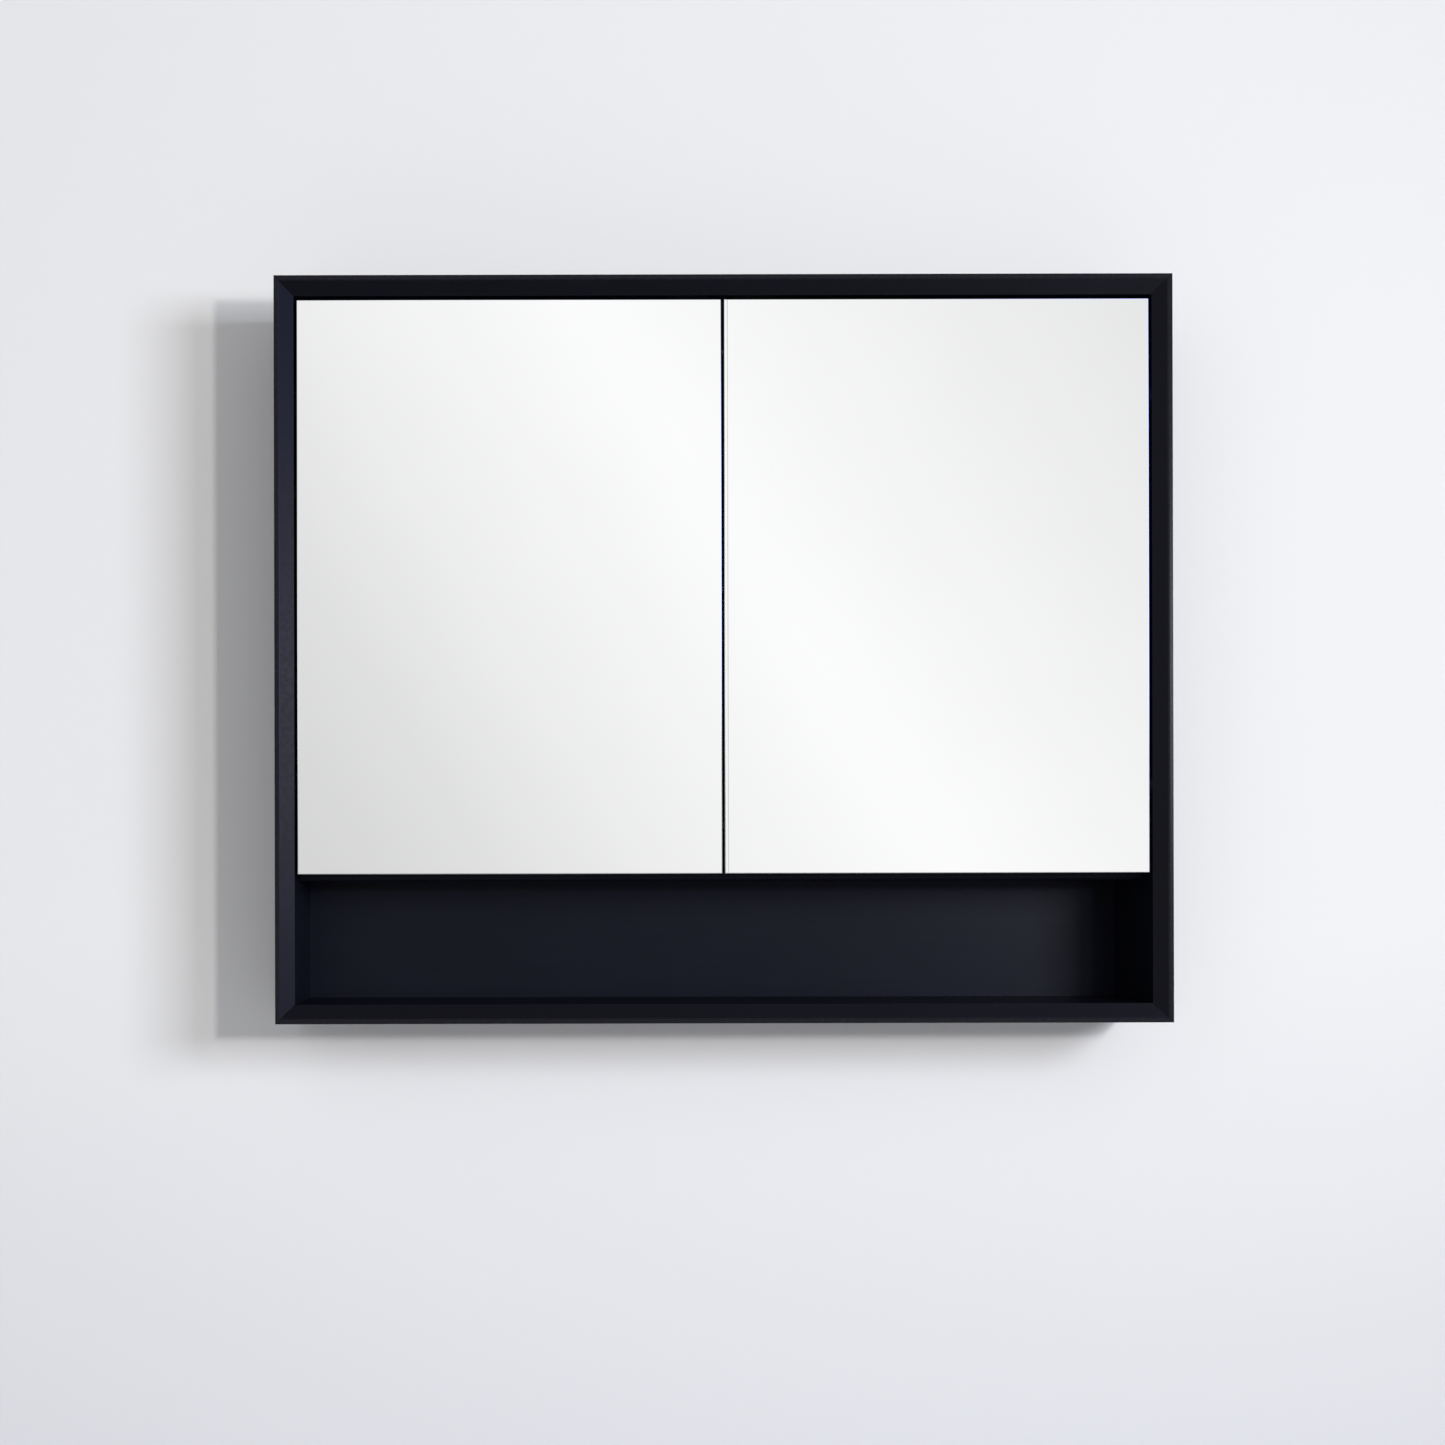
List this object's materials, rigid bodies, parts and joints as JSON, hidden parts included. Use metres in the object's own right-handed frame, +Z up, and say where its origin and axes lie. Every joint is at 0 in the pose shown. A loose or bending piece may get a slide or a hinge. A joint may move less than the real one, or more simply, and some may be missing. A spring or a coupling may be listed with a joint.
{
  "type": "mirrored wall cabinet",
  "caption": "Wall-hung bathroom cabinet with two frameless mirrored doors set in a dark bevelled frame, above an open niche.",
  "frame": {"origin": "on the wall plane, at the centre of the four wall-screw holes", "axes": "+X to the right seen from the front, +Y into the wall, +Z up; the front faces -Y"},
  "size_m": [0.9, 0.15, 0.75],
  "materials": {
    "dark_lacquer": "blue-black satin lacquer on MDF",
    "raw_rail": "raw birch plywood",
    "beech": "raw beech",
    "mirror": "silvered glass with polished edges",
    "shelf_glass": "clear float glass with ground edges",
    "zinc": "zinc-plated steel",
    "hinge_steel": "nickel-plated steel, satin",
    "catch_plastic": "moulded plastic",
    "bumper_rubber": "soft translucent rubber",
    "foam_tape": "closed-cell foam mounting tape"
  },
  "bodies": {
    "root": {"left_side_panel": "dark_lacquer", "right_side_panel": "dark_lacquer", "top_panel": "dark_lacquer", "bottom_panel": "dark_lacquer", "fixed_shelf": "dark_lacquer", "centre_divider": "dark_lacquer", "back_panel": "dark_lacquer", "hanging_rail": "raw_rail", "lower_rail": "raw_rail", "mitre_splines": "beech", "carcass_dowels": "beech", "rail_dowels": "beech", "left_lower_glass_shelf": "shelf_glass", "left_lower_shelf_pins": "zinc", "left_lower_hinge_arm": "hinge_steel", "left_upper_glass_shelf": "shelf_glass", "left_upper_shelf_pins": "zinc", "left_upper_hinge_arm": "hinge_steel", "right_lower_glass_shelf": "shelf_glass", "right_lower_shelf_pins": "zinc", "right_lower_hinge_arm": "hinge_steel", "right_upper_glass_shelf": "shelf_glass", "right_upper_shelf_pins": "zinc", "right_upper_hinge_arm": "hinge_steel", "hinge_arm_screws": "zinc", "catch_housings": "catch_plastic", "catch_pole_plates": "zinc", "catch_screws": "zinc", "door_bumpers": "bumper_rubber"},
    "left_door": {"left_lower_hinge_leaf": "hinge_steel", "left_lower_hinge_pin": "zinc", "left_upper_hinge_leaf": "hinge_steel", "left_upper_hinge_pin": "zinc", "left_door_panel": "dark_lacquer", "left_mirror": "mirror", "left_mirror_tape": "foam_tape", "left_leaf_screws": "zinc", "left_strike_plate": "zinc", "left_strike_screws": "zinc"},
    "right_door": {"right_lower_hinge_leaf": "hinge_steel", "right_lower_hinge_pin": "zinc", "right_upper_hinge_leaf": "hinge_steel", "right_upper_hinge_pin": "zinc", "right_door_panel": "dark_lacquer", "right_mirror": "mirror", "right_mirror_tape": "foam_tape", "right_leaf_screws": "zinc", "right_strike_plate": "zinc", "right_strike_screws": "zinc"}
  },
  "joints": [
    {"name": "left_door_hinge", "type": "hinge", "parent": "root", "child": "left_door", "pos_m": [-0.412, -0.1355, 0], "axis": [0, 0, -1], "range_deg": [0, 105]},
    {"name": "right_door_hinge", "type": "hinge", "parent": "root", "child": "right_door", "pos_m": [0.412, -0.1355, 0], "axis": [0, 0, 1], "range_deg": [0, 105]}
  ]
}
